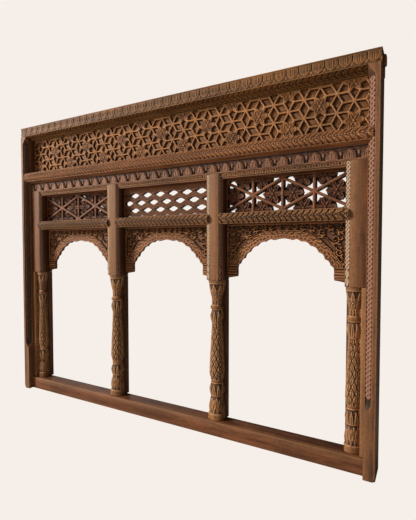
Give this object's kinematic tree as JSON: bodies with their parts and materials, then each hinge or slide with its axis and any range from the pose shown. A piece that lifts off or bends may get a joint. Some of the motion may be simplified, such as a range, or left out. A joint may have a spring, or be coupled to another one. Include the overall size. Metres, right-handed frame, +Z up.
{
  "type": "carved wooden jharokha window",
  "caption": "Carved wooden window front with scalloped arches between carved pillars, pierced lattice screens above, a star-lattice frieze and moulded cornice, for hanging or fixing to a wall.",
  "frame": {"origin": "centre of the bounding box across and through the depth, at the underside of the jambs and sill", "axes": "+X along the width to the right seen from the carved side, +Y from the carved side to the back, +Z up"},
  "size_m": [1.771, 0.105, 1.3815],
  "materials": {
    "frame_wood": "satin",
    "frieze_wood": "satin",
    "screen_wood": "satin",
    "rail_wood": "satin",
    "sill_wood": "satin"
  },
  "bodies": {
    "root": {"cornice": "frame_wood", "jamb_left": "frame_wood", "jamb_right": "frame_wood", "post_left": "frame_wood", "post_right": "frame_wood", "mullion_left": "frame_wood", "mullion_right": "frame_wood", "frieze_panel": "frieze_wood", "torus": "frieze_wood", "jali_left": "screen_wood", "jali_centre": "screen_wood", "jali_right": "screen_wood", "arch_left": "screen_wood", "arch_centre": "screen_wood", "arch_right": "screen_wood", "lotus_beam": "rail_wood", "bead_rail_left": "rail_wood", "bead_rail_centre": "rail_wood", "bead_rail_right": "rail_wood", "transom_left": "rail_wood", "transom_centre": "rail_wood", "transom_right": "rail_wood", "sill": "sill_wood"}
  },
  "joints": []
}
